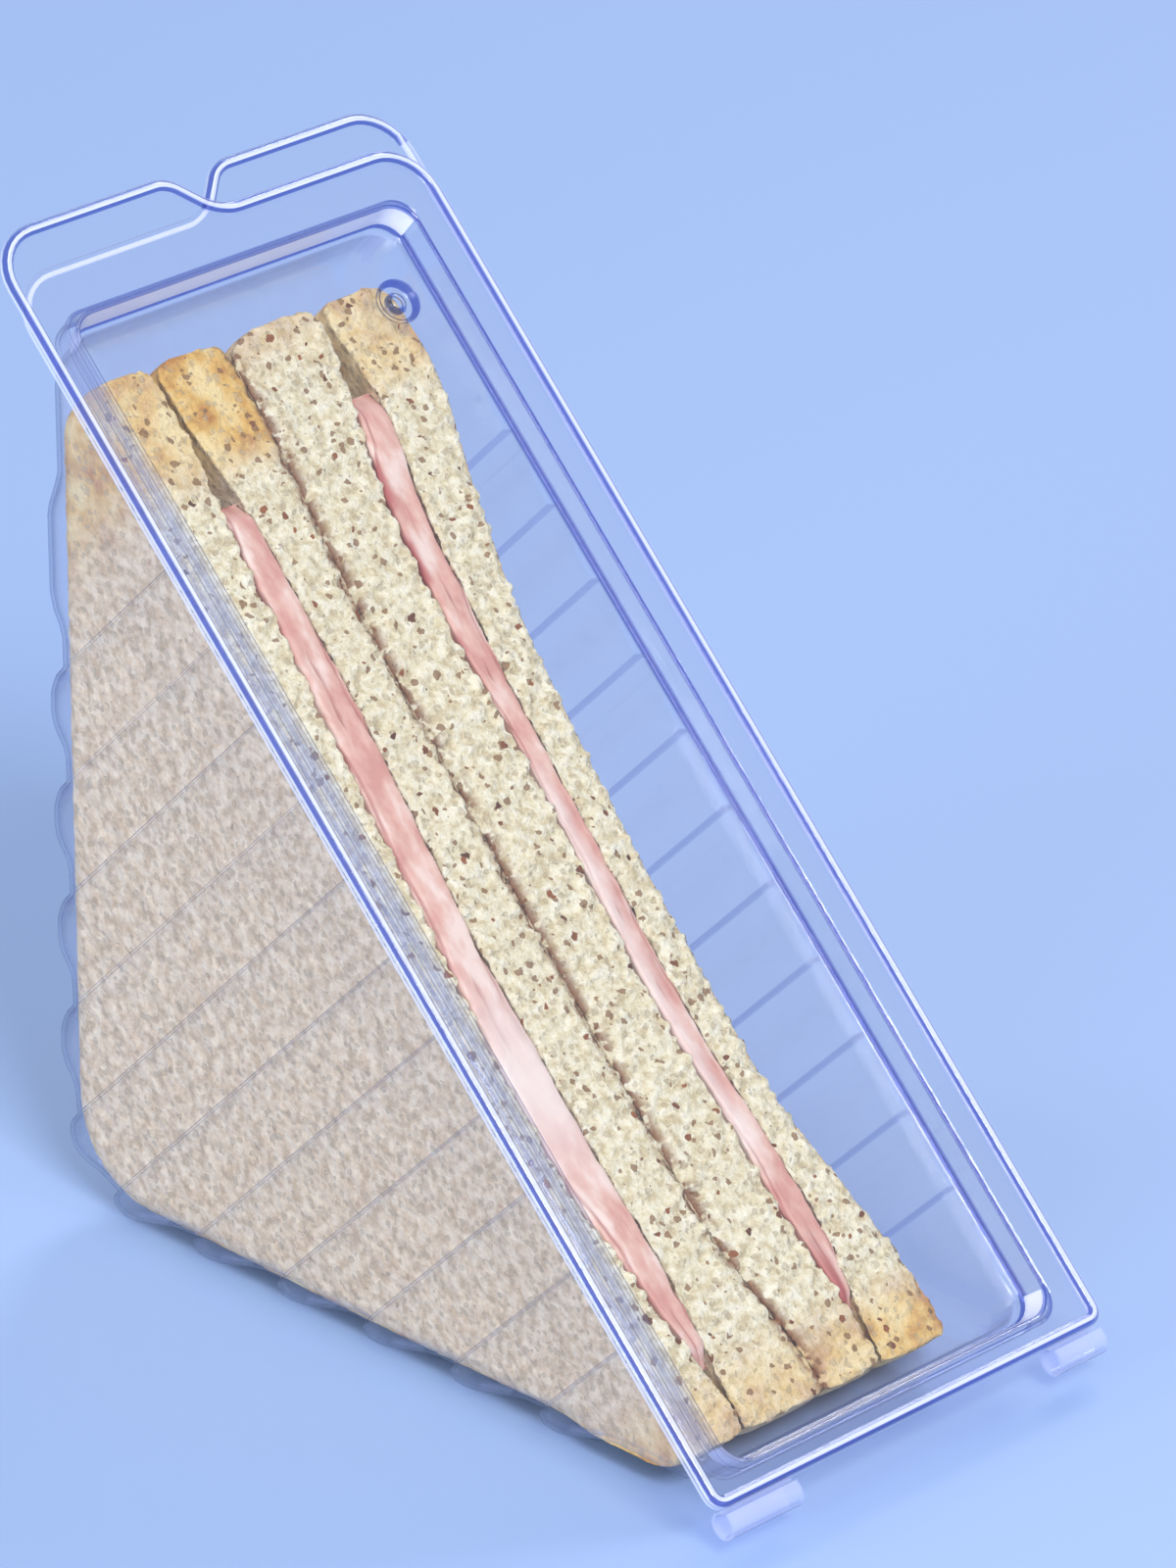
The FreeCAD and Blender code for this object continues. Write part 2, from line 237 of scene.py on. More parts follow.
def sort_faces(piece, level):
    """Gives each face the finish of its place, while the piece still lies level."""
    for face in piece.data.polygons:
        middle, normal = face.center / MM, face.normal
        is_upright, is_slanted = abs(normal.z) < 0.3, 0.25 < abs(normal.z) < 0.93
        # The bead's crest gets the painted highlight finish.
        if face.material_index == CREST_HIGHLIGHT or middle.z > level + CREST_HIGHLIGHT_SHARE * BEAD_HEIGHT:
            face.material_index = CREST_HIGHLIGHT
        elif middle.z > LEDGE - GAUGE:
            # Slanted faces here, the bends and the bead's flanks, get the painted shade finish.
            face.material_index = BEND_SHADE if is_slanted else SHEET
            # The lid plug's upright end walls and corners get the painted highlight finish.
            if level > 0 and abs(normal.y) > 0.3 and is_upright:
                face.material_index = PLUG_END_HIGHLIGHT
        else:
            # The steep steps at the ribs' upper edges get the painted shade finish.
            is_step = abs(normal.x) > 0.2 and abs(normal.y) > 0.5 and is_upright
            face.material_index = RIB_STEP_SHADE if is_step else SHEET


def give_gauge(piece):
    """Turns a single surface into a sheet of the plastic's gauge, with smooth bends and flat walls.

    The sheet's edge takes the finish that follows the sheet's own, which is the cut edge.
    """
    wall = piece.modifiers.new("gauge", "SOLIDIFY")
    wall.thickness = GAUGE * MM
    wall.offset = -1
    wall.use_quality_normals = True
    wall.material_offset_rim = CUT_EDGE - SHEET
    bpy.ops.object.modifier_apply(modifier=wall.name)
    bpy.ops.object.shade_smooth_by_angle(angle=math.radians(40))
    even = piece.modifiers.new("flat walls", "WEIGHTED_NORMAL")
    even.keep_sharp = True
    bpy.ops.object.modifier_apply(modifier=even.name)


# %% [markdown]
# ## Clear plastic
# A thin clear sheet hardly bends light: it lets nearly all of it through, mirrors more of it the flatter
# it is seen, and looks darker and bluer there, a little because light crosses more plastic and more as
# painted shade, which stands in for the dark that its bends mirror and refract. So the material mixes a
# Transparent shader with a Glossy one by the angle, which Layer Weight gives, and adds a trace of haze.
# In a photograph the plain sheet is nearly unseen, and its bends, crests and cut edges draw the object.
# So there are seven finishes of the one plastic, and each face gets the one of its place: bends and rib
# steps are tinted darker as painted shade, bead crests and plug ends are milky as painted highlight, and
# the hinge lands have both.

# %% Plastic
def value_math(nodes, links, operation, first, second):
    """A Math node, where each of the two inputs is a number or another node's output."""
    made = nodes.new("ShaderNodeMath")
    made.operation = operation
    for socket, given in zip(made.inputs, (first, second)):
        if isinstance(given, (int, float)):
            socket.default_value = given
        else:
            links.new(given, socket)
    return made.outputs[0]


def clear_plastic(name, haze, tint, slant_tint_and_shade, shade):
    """Clear sheet: haze is the share of milk, tint what passes square on, slant_tint_and_shade what passes
    at a slant, a little real and mostly painted shade.

    shade is what its shadow lets through.
    """
    made, nodes, links = paint(name)
    angle = nodes.new("ShaderNodeLayerWeight")
    angle.inputs["Blend"].default_value = 0.5
    facing = angle.outputs["Facing"]
    mirror = value_math(nodes, links, "POWER", facing, 4.0)
    mirror = value_math(nodes, links, "MULTIPLY", mirror, 0.92)
    mirror = value_math(nodes, links, "ADD", mirror, 0.04)
    slant = value_math(nodes, links, "POWER", facing, 5.0)
    colour = nodes.new("ShaderNodeMix")
    colour.data_type = "RGBA"
    links.new(slant, colour.inputs["Factor"])
    colour.inputs["A"].default_value = (*tint, 1)
    # The slant tint is a little real, from the longer path through the plastic, and mostly painted shade
    # for the dark lines on bends.
    colour.inputs["B"].default_value = (*slant_tint_and_shade, 1)
    clear = nodes.new("ShaderNodeBsdfTransparent")
    links.new(colour.outputs["Result"], clear.inputs["Color"])
    coordinates = nodes.new("ShaderNodeTexCoord")
    waves = nodes.new("ShaderNodeTexNoise")
    waves.inputs["Scale"].default_value = 70
    waves.inputs["Detail"].default_value = 1
    links.new(coordinates.outputs["Object"], waves.inputs["Vector"])
    bump = nodes.new("ShaderNodeBump")
    bump.inputs["Strength"].default_value = 0.05
    bump.inputs["Distance"].default_value = 0.002
    links.new(waves.outputs["Fac"], bump.inputs["Height"])
    gloss = nodes.new("ShaderNodeBsdfGlossy")
    gloss.inputs["Roughness"].default_value = 0.04
    links.new(bump.outputs[0], gloss.inputs["Normal"])
    sheet = nodes.new("ShaderNodeMixShader")
    links.new(mirror, sheet.inputs[0])
    links.new(clear.outputs[0], sheet.inputs[1])
    links.new(gloss.outputs[0], sheet.inputs[2])
    milk = nodes.new("ShaderNodeBsdfPrincipled")
    milk.inputs["Base Color"].default_value = (0.80, 0.84, 1, 1)
    milk.inputs["Roughness"].default_value = 0.3
    whole = nodes.new("ShaderNodeMixShader")
    whole.inputs[0].default_value = haze
    links.new(sheet.outputs[0], whole.inputs[1])
    links.new(milk.outputs[0], whole.inputs[2])
    path = nodes.new("ShaderNodeLightPath")
    passing = nodes.new("ShaderNodeBsdfTransparent")
    passing.inputs["Color"].default_value = (*shade, 1)
    lit = nodes.new("ShaderNodeMixShader")
    links.new(path.outputs["Is Shadow Ray"], lit.inputs[0])
    links.new(whole.outputs[0], lit.inputs[1])
    links.new(passing.outputs[0], lit.inputs[2])
    links.new(lit.outputs[0], nodes.new("ShaderNodeOutputMaterial").inputs["Surface"])
    return made


FINISHES = [
    clear_plastic("clear_plastic", 0.012, (0.975, 0.98, 1), (0.42, 0.48, 0.75), (0.96, 0.96, 0.98)),
    clear_plastic("cut_edge", 0.6, (0.93, 0.94, 1), (0.6, 0.65, 0.9), (0.7, 0.7, 0.75)),
    # Bend: a dark blue tint even square on, painted shade for the dark lines along bends and bead flanks.
    clear_plastic("bend_painted_shade", 0.02, (0.45, 0.51, 0.80), (0.10, 0.14, 0.38), (0.7, 0.72, 0.85)),
    # Bead crest: milky, a painted highlight for the bright line along the bead.
    clear_plastic("bead_crest_painted_highlight", 0.6, (0.97, 0.975, 1), (0.8, 0.83, 1), (0.75, 0.77, 0.85)),
    # Rib step: a darker tint with a little milk, painted shade and a trace of painted highlight for the
    # line at each rib's upper edge.
    clear_plastic("rib_step_painted_shade", 0.09, (0.87, 0.90, 1), (0.48, 0.54, 0.82), (0.88, 0.90, 0.95)),
    # Plug end: nearly white milk, a painted highlight for the bright band at the plug's ends.
    clear_plastic("plug_end_painted_highlight", 0.6, (0.99, 0.99, 1), (0.92, 0.95, 1), (0.85, 0.87, 0.93)),
    # Land: milky with a very dark slant tint, painted highlight and painted shade for the hinge's bright
    # ring and dark outline.
    clear_plastic("land_painted_shade_highlight", 0.24, (0.86, 0.9, 1), (0.06, 0.10, 0.36), (0.8, 0.82, 0.9)),
]
print("finishes:", [finish.name for finish in FINISHES])

# %% [markdown]
# ## The flanges' outline
# Both halves end in a flat flange. It is a plain rectangle with a thumb tab drawn out of half of
# its top edge, and the tab's inner end slants. A small raised bead runs round the edge of the
# lid's flange: it stiffens the thin sheet, and its crest carries a painted highlight, a milky finish
# that draws the bright line round the pack.
# Insets follow an outline evenly, so the bead is made of a few insets that climb and fall again.

# %% One flange
TAB_REACH, TAB_FOOT, TAB_TIP = 6.5, 1.5, -4.5
HEAD_CORNER, FOOT_CORNER, TAB_CORNER, TAB_BEND = 8.0, 2.5, 2.2, 2.8
BEAD = (
    (0.12, 0.0), (0.3, 0.28), (0.25, 0.17), (0.3, 0.03), (0.3, -0.03), (0.25, -0.17), (0.2, -0.28),
    (0.1, 0.0),
)
BEAD_HEIGHT = 0.48


def flange(name, level, side):
    """A flange outline with its tab on one side (-1 left, 1 right), as an open ring in edit mode.

    All but the ring's inner edge is hidden, so that the next fill joins the inner edge only.
    """
    bpy.ops.object.select_all(action="DESELECT")
    bpy.ops.mesh.primitive_plane_add(size=1, location=(0, FLANGE_LENGTH / 2 * MM, level * MM))
    piece = named(name, (FLANGE_WIDTH, FLANGE_LENGTH, 1))
    for finish in FINISHES:
        piece.data.materials.append(finish)
    bpy.ops.object.mode_set(mode="EDIT")
    bpy.ops.mesh.bisect(plane_co=(-side * TAB_FOOT * MM, 0, 0), plane_no=(1, 0, 0), threshold=0.001 * MM)
    pick("EDGE", lambda p: near(p.y, FLANGE_LENGTH) and side * p.x > -TAB_FOOT - 0.1)
    pull_out(y=TAB_REACH)
    pick("VERT", lambda p: near(p.x, -side * TAB_FOOT) and p.y > FLANGE_LENGTH + 1)
    push(x=side * (TAB_FOOT - TAB_TIP))
    bpy.ops.mesh.select_all(action="SELECT")
    bpy.ops.mesh.dissolve_limited(angle_limit=math.radians(1))
    top = FLANGE_LENGTH + TAB_REACH
    round_corner(side * HALF, top, HEAD_CORNER, 8)
    round_corner(-side * TAB_TIP, top, TAB_CORNER, 5)
    round_corner(-side * TAB_FOOT, FLANGE_LENGTH, TAB_BEND, 6)
    round_corner(-side * HALF, FLANGE_LENGTH, HEAD_CORNER, 8)
    round_corner(-HALF, 0, FOOT_CORNER, 5)
    round_corner(HALF, 0, FOOT_CORNER, 5)
    bpy.ops.mesh.select_mode(type="FACE")
    bpy.ops.mesh.select_all(action="SELECT")
    for inward, upward in BEAD:
        bpy.ops.mesh.inset(thickness=inward * MM, depth=upward * MM)
    bpy.ops.mesh.hide(unselected=True)
    bpy.ops.mesh.delete(type="ONLY_FACE")
    return piece


def rounded_loop(half_x, half_y, middle_y, level, corner, segments=6):
    """Adds a rounded rectangle of edges to the mesh that is being edited and leaves it selected."""
    bpy.ops.mesh.select_mode(type="VERT")
    centre = (0, middle_y * MM, level * MM)
    bpy.ops.mesh.primitive_plane_add(size=MM, location=centre)
    bpy.ops.transform.resize(value=(2 * half_x, 2 * half_y, 1), center_override=centre)
    bpy.ops.mesh.bevel(offset=corner * MM, segments=segments, affect="VERTICES")
    bpy.ops.mesh.delete(type="ONLY_FACE")
    bpy.ops.mesh.select_mode(type="EDGE")
    bpy.ops.mesh.select_loose()


# %% [markdown]
# ## The lid
# The lid's window is sunk into the tray's mouth as a shallow plug, which is what keeps the pack
# shut. The wall of the plug leans a little, as every moulded wall does to let go of its mould. Near
# the top right corner a round button is pressed into the window, with a dot standing in its middle.

# %% Lid
LID_LEVEL = 0.65
LEDGE = -4.6
PLUG_X, PLUG_LOW, PLUG_HIGH, PLUG_BEND, PLUG_CORNER = 30.9, 4.6, 181.9, 0.65, 4.0
PLUG_STEPS = (
    (-0.15, 0), (-0.25, -0.08), (-0.2, -0.22), (-0.1, -0.3), (-0.5, -3.35), (-0.1, -0.25), (-0.2, -0.2),
    (-0.25, -0.05), (-0.2, 0),
)
plug_middle, plug_half = (PLUG_LOW + PLUG_HIGH) / 2, (PLUG_HIGH - PLUG_LOW) / 2

lid = flange("lid_sheet", LID_LEVEL, -1)
rounded_loop(PLUG_X + PLUG_BEND, plug_half + PLUG_BEND, plug_middle, LID_LEVEL, PLUG_CORNER)
trace(PLUG_X + PLUG_BEND, plug_half + PLUG_BEND, plug_middle, PLUG_STEPS)
window_level = LID_LEVEL + sum(upward for outward, upward in PLUG_STEPS)
pick("EDGE", lambda p: near(p.z, LID_LEVEL), loose_only=True)
bpy.ops.mesh.fill(use_beauty=True)

BUTTON_X, BUTTON_Y, BUTTON_RADIUS = 24.5, 170.0, 3.5
BUTTON_STEPS = (
    (3.3, 0.0), (3.1, -0.1), (2.95, -0.3), (2.75, -0.9), (2.55, -1.1), (2.3, -1.15), (1.7, -1.15),
    (1.5, -1.05), (1.35, -0.6), (1.1, -0.35), (0.6, -0.2),
)
bpy.ops.mesh.select_all(action="DESELECT")
bpy.ops.mesh.primitive_circle_add(
    vertices=36, radius=BUTTON_RADIUS * MM, fill_type="NOTHING",
    location=(BUTTON_X * MM, BUTTON_Y * MM, window_level * MM),
)
ring, height = BUTTON_RADIUS, 0.0
for radius, depth in BUTTON_STEPS:
    pull_out(z=depth - height)
    bpy.ops.transform.resize(
        value=(radius / ring, radius / ring, 1), center_override=(BUTTON_X * MM, BUTTON_Y * MM, 0)
    )
    ring, height = radius, depth
bpy.ops.mesh.edge_face_add()
pick("EDGE", lambda p: near(p.z, window_level), loose_only=True)
bpy.ops.mesh.fill(use_beauty=True)
bpy.ops.mesh.reveal(select=False)
face_up(lid)
bpy.ops.object.mode_set(mode="OBJECT")
sort_faces(lid, LID_LEVEL)
give_gauge(lid)
lean_back(lid)
print("lid faces:", len(lid.data.polygons))

# %% [markdown]
# ## The tray
# The tray is a wedge with a rounded heel. It starts as a block, which two cuts along the pack's
# floor and back turn into a wedge. Then its edges are rounded, its top is opened, and cuts across
# it at the ribs' edges give the corners that are moved out to raise the ribs. Each rib is crisp
# at its upper edge and falls away softly below.

# %% Wedge block
VALLEY_X, WEDGE_LOW, WEDGE_HIGH = 29.5, 6.0, 180.5
FLOOR_DEPTH, BACK_DEPTH = 6.505, 191.41
RIB_TOP, RIB_PITCH, RIB_COUNT = 147.4, 12.15, 11
RIB_SIDE, RIB_LEG = 1.6, 2.4
SHOULDER_TOP = 168.0
HEEL_RADIUS, END_RADIUS, SIDE_RADIUS = 14.5, 2.5, 4.0
WEDGE_HEIGHT = 120

bpy.ops.object.select_all(action="DESELECT")
bpy.ops.mesh.primitive_cube_add(
    size=1, location=(0, (WEDGE_LOW + WEDGE_HIGH) / 2 * MM, (LEDGE - WEDGE_HEIGHT / 2) * MM)
)
wedge = named("wedge", (2 * VALLEY_X, WEDGE_HIGH - WEDGE_LOW, WEDGE_HEIGHT))
bpy.ops.object.mode_set(mode="EDIT")
for depth, leg in ((-FLOOR_DEPTH, (0, 1, 1)), (-BACK_DEPTH, (0, -1, 1))):
    bpy.ops.mesh.select_all(action="SELECT")
    bpy.ops.mesh.bisect(
        plane_co=(0, 0, depth * MM), plane_no=leg, use_fill=True, clear_inner=True, threshold=0.001 * MM
    )
heel_y = (BACK_DEPTH - FLOOR_DEPTH) / 2
pick("EDGE", lambda p: near(p.y, heel_y, 0.1))
bpy.ops.mesh.bevel(offset=HEEL_RADIUS * MM, segments=10, affect="EDGES")
pick("EDGE", lambda p: p.z < LEDGE - 0.1 and (near(p.y, WEDGE_LOW, 0.1) or near(p.y, WEDGE_HIGH, 0.1)))
bpy.ops.mesh.bevel(offset=END_RADIUS * MM, segments=3, affect="EDGES")


def in_side_wall(p):
    """True in the plane of a side wall, before its ribs are raised."""
    return near(abs(p.x), VALLEY_X)


pick("EDGE", in_side_wall)
mesh = bmesh.from_edit_mesh(wedge.data)
for edge in mesh.edges:
    ends = [v.co / MM for v in edge.verts]
    if abs(ends[0].x - ends[1].x) > 1 or all(near(e.z, LEDGE) for e in ends):
        edge.select_set(False)
bmesh.update_edit_mesh(wedge.data)
bpy.ops.mesh.bevel(offset=SIDE_RADIUS * MM, segments=5, affect="EDGES")
pick("FACE", lambda p: near(p.z, LEDGE))
bpy.ops.mesh.delete(type="FACE")

# %% [markdown]
# A rib's shape is written as a share of its height along the window. On the side walls it is almost
# a step at the top. On the floor and back, which meet it at 45 degrees, it swells more gently.

# %% Ribs
SIDE_SHAPE = (
    (0.25, 0.0), (-0.35, 0.95), (-0.8, 1.0), (-3.2, 0.9), (-5.0, 0.62), (-6.6, 0.28), (-8.2, 0.06),
    (-9.4, 0.0),
)
LEG_SHAPE = (
    (0.6, 0.0), (-0.3, 0.45), (-1.4, 0.9), (-2.6, 1.0), (-4.2, 0.9), (-5.8, 0.6), (-7.4, 0.25), (-9.4, 0.0),
)
SHOULDER_SHAPE = (
    (0.5, 0.0), (-0.6, 0.3), (-2.2, 0.85), (-3.2, 1.0), (-11.0, 1.0), (-13.0, 0.75), (-15.0, 0.3),
    (-17.0, 0.0),
)
SHOULDER_SHARE = 0.8


def shape_at(shape, up_from_edge):
    """The share of the full height at a distance from a rib's upper edge, negative below it."""
    places, heights = zip(*reversed(shape))
    return np.interp(up_from_edge, places, heights, 0, 0)


def rib_height(y, shape):
    """The share of a rib's height at a place up the window."""
    ribs = [shape_at(shape, y - (RIB_TOP - k * RIB_PITCH)) for k in range(RIB_COUNT)]
    return max(*ribs, SHOULDER_SHARE * shape_at(SHOULDER_SHAPE, y - SHOULDER_TOP))


cuts = [SHOULDER_TOP + s[0] for s in SHOULDER_SHAPE]
for k in range(RIB_COUNT):
    cuts += [RIB_TOP - k * RIB_PITCH + s[0] for s in SIDE_SHAPE + LEG_SHAPE]
cuts = sorted(set(round(c, 3) for c in cuts if WEDGE_LOW + 1 < c < WEDGE_HIGH - 1))
for y in cuts:
    bpy.ops.mesh.select_all(action="SELECT")
    bpy.ops.mesh.bisect(plane_co=(0, y * MM, 0), plane_no=(0, 1, 0), threshold=0.001 * MM)
bpy.ops.object.mode_set(mode="OBJECT")
normals = [v.normal.copy() for v in wedge.data.vertices]
for v, normal in zip(wedge.data.vertices, normals):
    y = v.co.y / MM
    across = math.hypot(normal.y, normal.z)
    v.co.x += math.copysign(RIB_SIDE * rib_height(y, SIDE_SHAPE) * abs(normal.x) * MM, normal.x)
    if abs(normal.z) > 0.2 * across and across > 0.05:
        v.co.z -= RIB_LEG * rib_height(y, LEG_SHAPE) * across ** 2 / abs(normal.z) * MM
print("wedge: %d cuts, %d faces" % (len(cuts), len(wedge.data.polygons)))

# %% [markdown]
# The tray's flange is the same outline with its tab on the other side. Its mouth drops to a ledge, which
# the open top of the wedge is joined to. The lid lies on this flange, so the bead is pressed flat again all
# over but on the tab. Its crest faces get the painted highlight finish first, because the line still shows
# through the lid.

# %% Flange, mouth and ledge
MOUTH_X, MOUTH_LOW, MOUTH_HIGH, MOUTH_BEND, MOUTH_CORNER = 31.5, 4.0, 182.5, 0.6, 3.4
MOUTH_STEPS = (
    (0.15, 0), (0.25, 0.08), (0.15, 0.27), (0.15, 3.65), (0.1, 0.25), (0.2, 0.25), (0.3, 0.1), (0.15, 0),
)
LID_END = FLANGE_LENGTH + 0.8
mouth_middle, mouth_half = (MOUTH_LOW + MOUTH_HIGH) / 2, (MOUTH_HIGH - MOUTH_LOW) / 2

tray = flange("tray_sheet", 0.0, 1)
rounded_loop(MOUTH_X - MOUTH_BEND, mouth_half - MOUTH_BEND, mouth_middle, LEDGE, MOUTH_CORNER)
trace(MOUTH_X - MOUTH_BEND, mouth_half - MOUTH_BEND, mouth_middle, MOUTH_STEPS)
pick("EDGE", lambda p: near(p.z, 0), loose_only=True)
bpy.ops.mesh.fill(use_beauty=True)
bpy.ops.mesh.reveal(select=False)
# The crest faces get the painted highlight finish before the bead is pressed flat.
pick("FACE", lambda p: p.z > CREST_HIGHLIGHT_SHARE * BEAD_HEIGHT)
tray.active_material_index = CREST_HIGHLIGHT
bpy.ops.object.material_slot_assign()
pick("VERT", lambda p: p.y < LID_END and p.z > 0.01)
bpy.ops.transform.resize(value=(1, 1, 0), center_override=(0, 0, 0))
bpy.ops.object.mode_set(mode="OBJECT")
bpy.ops.object.select_all(action="DESELECT")
wedge.select_set(True)
tray.select_set(True)
bpy.context.view_layer.objects.active = tray
bpy.ops.object.join()
bpy.ops.object.mode_set(mode="EDIT")
pick("EDGE", lambda p: near(p.z, LEDGE), loose_only=True)
bpy.ops.mesh.fill(use_beauty=True)
face_up(tray)
bpy.ops.object.mode_set(mode="OBJECT")
sort_faces(tray, 0.0)
give_gauge(tray)
lean_back(tray)
print("tray faces:", len(tray.data.polygons))

# %% [markdown]
# The two new pieces stand for the CAD's tray and lid, and ride on the bodies that these belong to. The
# hinge lands keep their CAD shape, which is right already, and get a finish with painted shade and
# painted highlight in place of the plain one.

# %% Handing over the plastic pieces
for name in ("hinge_left", "hinge_right"):
    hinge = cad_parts[name]
    hinge.data.materials.clear()
    hinge.data.materials.append(FINISHES[LAND_SHADE_HIGHLIGHT])
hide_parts("tray")
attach(tray, "base")
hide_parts("lid")
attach(lid, "lid")
print("plastic:", tray.name, lid.name, "hinge_left", "hinge_right")

# %% [markdown]
# ## The sandwiches
# A slice of bread keeps the flat shape that its CAD solid has, but a soft one leans and fans out.
# So each slice starts as a copy of its solid, is remeshed into small even faces, and is bent so
# that its two sides follow the curves that the photograph shows. Then the crumb is roughened
# where the knife went, and less on the crust.

# %% Slices
WHERE = [0, 15, 25, 35, 48, 65, 85, 105, 125, 145, 153, 160, 172, 182]
EDGES = {
    "wall": [8.4] * 14,
    "ham_left_start": [19.5, 19.2, 17.4, 15.8, 13.6, 14.0, 15.6, 16.9, 18.6, 19.9, 21.2, 22.2, 22.5, 22.6],
    "ham_left_end": [19.7, 19.6, 20.8, 21.4, 20.8, 21.2, 21.3, 23.0, 24.4, 24.8, 25.2, 23.2, 22.7, 22.8],
    "between": [35.5, 35.0, 33.0, 31.4, 31.4, 31.7, 31.9, 32.7, 32.8, 34.2, 35.2, 35.6, 36.2, 36.2],
    "ham_right_start": [45.5, 45.4, 45.0, 43.6, 44.1, 42.9, 44.1, 45.3, 45.1, 46.7, 48.6, 50.6, 53.3, 53.5],
    "ham_right_end": [45.7, 46.0, 48.6, 48.8, 47.8, 47.3, 48.0, 48.7, 49.9, 52.2, 54.2, 55.4, 53.6, 53.7],
    "free_side": [57.5, 58.9, 58.0, 56.1, 53.4, 53.6, 54.3, 55.8, 57.9, 62.8, 65.4, 67.6, 67.0, 66.5],
}
SIDES = {
    "bread_slice_1": ("wall", "ham_left_start"), "ham_left": ("ham_left_start", "ham_left_end"),
    "bread_slice_2": ("ham_left_end", "between"), "bread_slice_3": ("between", "ham_right_start"),
    "ham_right": ("ham_right_start", "ham_right_end"), "bread_slice_4": ("ham_right_end", "free_side"),
}
CLEARANCE = 0.08
FULLNESS = {
    "bread_slice_1": (0.8, 0.35), "bread_slice_2": (0.35, 0.7), "bread_slice_3": (0.7, 0.35),
    "bread_slice_4": (0.35, 0.8), "ham_left": (0.5, 0.5), "ham_right": (0.5, 0.5),
}
out_of_lean = lean.inverted()


def sides_of(node, v):
    """The two sides of a slice at places up the window, with the curves' corners softened."""
    found = []
    for name, inward in zip(SIDES[node], (CLEARANCE, -CLEARANCE)):
        total = sum(np.interp(v + shift, WHERE, EDGES[name]) for shift in (-6, -4, -2, 0, 2, 4, 6))
        found.append(total / 7 + inward)
    return found


def copy_of(node):
    """A merged copy of a CAD node's mesh as a new piece."""
    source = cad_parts[node]
    piece = bpy.data.objects.new(node + "_soft", source.data.copy())
    bpy.context.scene.collection.objects.link(piece)
    bpy.ops.object.select_all(action="DESELECT")
    piece.select_set(True)
    bpy.context.view_layer.objects.active = piece
    bpy.ops.object.mode_set(mode="EDIT")
    bpy.ops.mesh.select_all(action="SELECT")
    bpy.ops.mesh.remove_doubles(threshold=0.005 * MM)
    bpy.ops.object.mode_set(mode="OBJECT")
    return piece


def corners_of(piece):
    """The mesh's corners, one row each, in metres."""
    places = np.zeros(len(piece.data.vertices) * 3)
    piece.data.vertices.foreach_get("co", places)
    return places.reshape(-1, 3)


def window_places(piece):
    """The mesh's corners in the window's frame, in millimetres."""
    turn = np.array(out_of_lean)
    return (corners_of(piece) @ turn[:3, :3].T + turn[:3, 3]) / MM


def set_window_places(piece, places):
    """Moves the mesh's corners to places in the window's frame, in millimetres."""
    turn = np.array(lean)
    moved = places * MM @ turn[:3, :3].T + turn[:3, 3]
    piece.data.vertices.foreach_set("co", moved.ravel())
    piece.data.update()


def ramp(x, low, high):
    """A soft step from 0 at low to 1 at high."""
    t = np.clip((x - low) / (high - low), 0, 1)
    return t * t * (3 - 2 * t)


SQUARING, FOOT_END = 1.7, 26.0


def soften(node, grain):
    """Remeshes a copy of a solid to an even grain and bends it between its two curves.

    It returns the piece, and for each corner its share of the way across, its place up the window and
    its depth. Near the foot, where the slices are pressed together, their rounded edges are squared.
    """
    piece = copy_of(node)
    even = piece.modifiers.new("even", "REMESH")
    even.mode = "VOXEL"
    even.voxel_size = grain * MM
    bpy.ops.object.modifier_apply(modifier=even.name)
    places = window_places(piece)
    low, high = places[:, 0].min(), places[:, 0].max()
    turn = 2 * (places[:, 0] - low) / (high - low) - 1
    fullness = np.where(turn < 0, FULLNESS[node][0], FULLNESS[node][1])
    share = 0.5 + 0.5 * np.sign(turn) * np.abs(turn) ** fullness
    v = places[:, 1].copy()
    square = 0.5 + 0.5 * np.clip(SQUARING * turn, -1, 1)
    share += (square - share) * ramp(FOOT_END - v, 0, 8)
    left, right = sides_of(node, v)
    places[:, 0] = left + share * (right - left) - HALF
    set_window_places(piece, places)
    return piece, share, v, -places[:, 2]


def keep_share(piece, name, values):
    """Keeps a number from 0 to 1 for each corner, which the material reads."""
    made = piece.data.attributes.new(name, "FLOAT", "POINT")
    made.data.foreach_set("value", values.astype(np.float32))


def roughen(piece, kind, size, strength, group, depth=2):
    """Moves the surface in and out by a procedural pattern, where the group says."""
    pattern = bpy.data.textures.new(kind.lower() + "_pattern", kind)
    pattern.noise_scale = size * MM
    if kind == "CLOUDS":
        pattern.noise_depth = depth
    move = piece.modifiers.new("roughen", "DISPLACE")
    move.texture = pattern
    move.texture_coords = "LOCAL"
    move.strength = strength * MM
    move.mid_level = 0.5
    move.vertex_group = group
    bpy.ops.object.modifier_apply(modifier=move.name)


def group_of(piece, name, weights):
    """A vertex group with eight steps of weight."""
    group = piece.vertex_groups.new(name=name)
    for level in range(1, 9):
        members = np.nonzero(np.rint(weights * 8) == level)[0]
        if len(members):
            group.add([int(i) for i in members], level / 8, "REPLACE")
    return name


